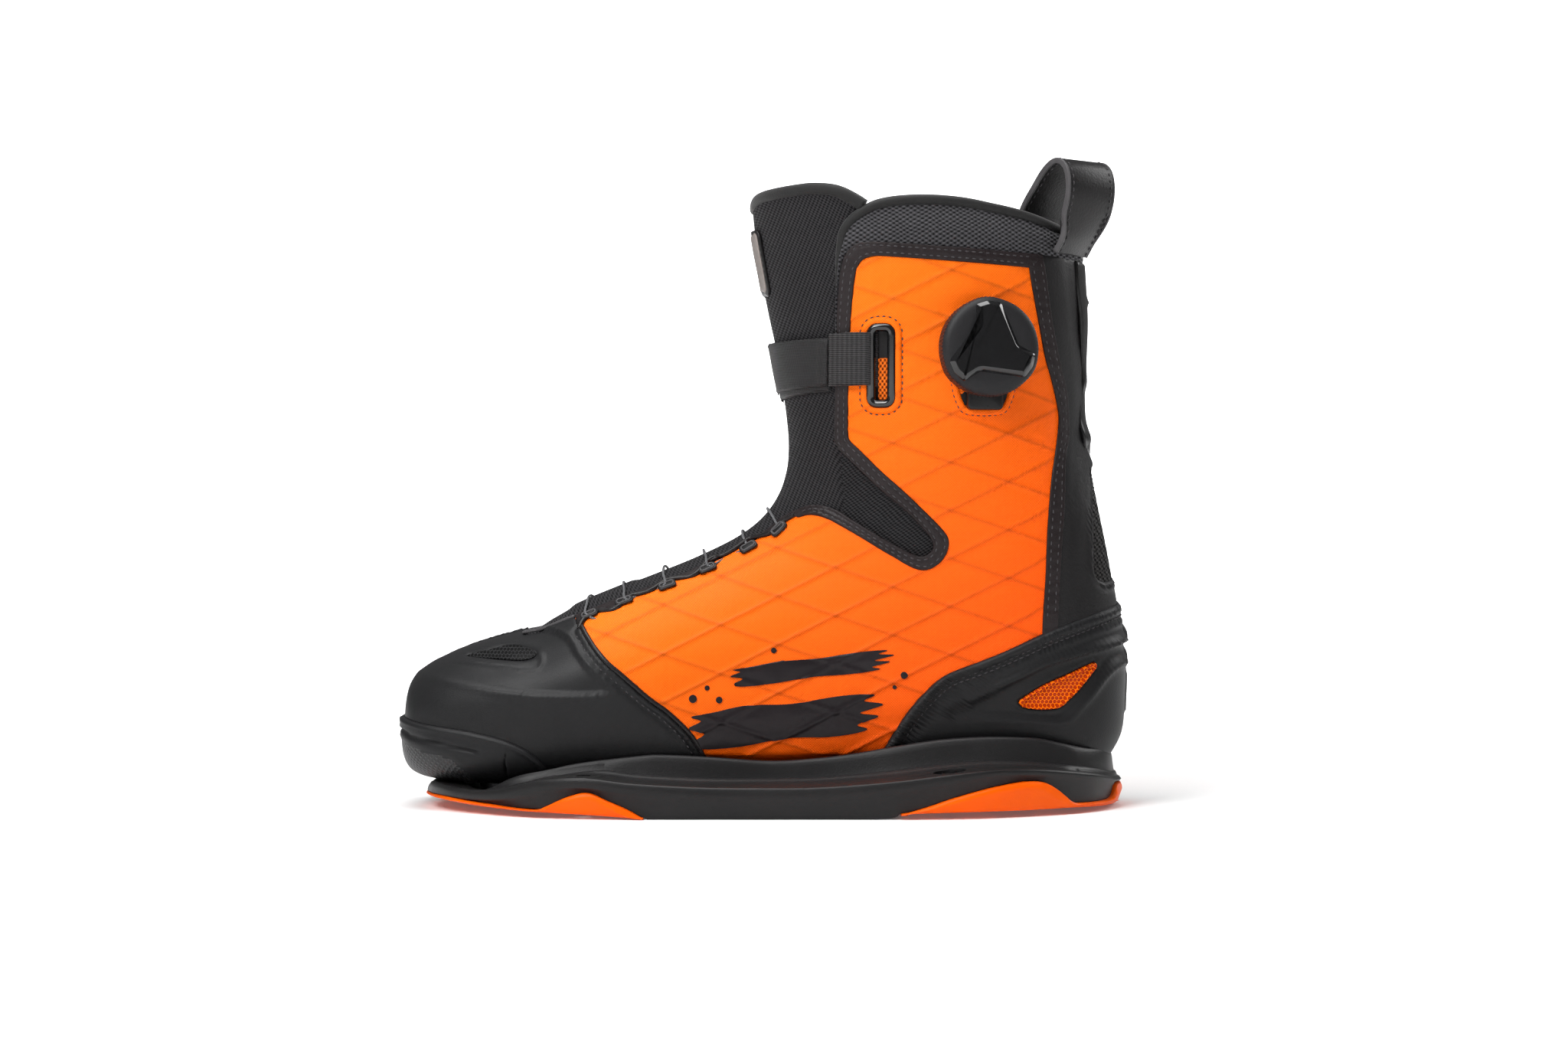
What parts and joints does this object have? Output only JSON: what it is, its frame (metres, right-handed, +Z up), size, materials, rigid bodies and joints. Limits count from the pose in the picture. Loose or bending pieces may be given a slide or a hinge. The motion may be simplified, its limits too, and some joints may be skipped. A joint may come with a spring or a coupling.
{
  "type": "wakeboard boot",
  "caption": "Left wakeboard boot on a bolt-down base frame, with dial lacing, ankle strap, padded collar and rear pull loop.",
  "frame": {"origin": "centre of the bounding box in plan, on the surface that the base frame stands on", "axes": "+X from the toe towards the heel, +Y from the outer side towards the inner side, +Z up the cuff"},
  "size_m": [0.3164, 0.154, 0.2764],
  "materials": {
    "frame_plastic": "glass-filled nylon, satin black",
    "grip_orange": "moulded elastomer, bright orange",
    "black_rubber": "moulded rubber, satin",
    "steel": "zinc-plated steel",
    "brass": "plated brass",
    "board": "fibre board",
    "foam": "foam with knitted face",
    "orange_fabric": "coated woven fabric with embossed lines",
    "black_synthetic": "smooth synthetic leather",
    "black_mesh": "black knitted mesh",
    "webbing": "ribbed woven webbing",
    "badge": "soft moulded patch",
    "gloss_black": "polished black plastic",
    "knob_black": "matte black plastic with soft grip",
    "lace_steel": "coated steel cable lace",
    "spool_grey": "acetal"
  },
  "bodies": {
    "boot": {"base_frame": "frame_plastic", "front_grip_pad": "grip_orange", "rear_grip_pad": "grip_orange", "outsole": "black_rubber", "frame_screws": "steel", "tee_nuts": "brass", "lasting_board": "board", "footbed": "foam", "toe_cap": "black_rubber", "toe_bumper": "black_rubber", "toe_vents": "black_mesh", "quarter_outer": "orange_fabric", "quarter_inner": "orange_fabric", "back_panel": "black_synthetic", "achilles_gusset": "black_mesh", "back_stay": "black_rubber", "heel_counter": "black_rubber", "heel_vents": "grip_orange", "ankle_gussets": "black_mesh", "trim_outer": "black_synthetic", "trim_inner": "black_synthetic", "rear_trims": "black_synthetic", "lace_facings": "black_synthetic", "lace_guides": "knob_black", "lace": "lace_steel", "tongue": "black_mesh", "tongue_binding": "black_synthetic", "tongue_badge": "badge", "liner_foot": "foam", "liner_cuff": "foam", "collar_pad": "black_mesh", "collar_binding": "black_synthetic", "pull_loop": "black_synthetic", "strap_band": "webbing", "strap_webbing": "webbing", "strap_rings": "gloss_black", "dial_base": "knob_black", "dial_screw": "steel"},
    "strap_tail": {"strap_tail": "webbing"},
    "dial_reel": {"dial_spool": "spool_grey"},
    "dial_grip": {"dial_knob": "knob_black", "dial_cap": "gloss_black", "dial_washer": "steel"}
  },
  "joints": [
    {"name": "dial_turn", "type": "hinge", "parent": "boot", "child": "dial_reel", "pos_m": [0.0913, -0.04889, 0.19558], "axis": [0.1564, -0.9877, 0], "continuous": true},
    {"name": "dial_pull", "type": "slide", "parent": "dial_reel", "child": "dial_grip", "axis": [0.1564, -0.9877, 0], "range_m": [0, 0.003]},
    {"name": "strap_peel", "type": "hinge", "parent": "boot", "child": "strap_tail", "pos_m": [0.0275, -0.04538, 0.18925], "axis": [0, 0, 1], "range_deg": [0, 100]}
  ]
}
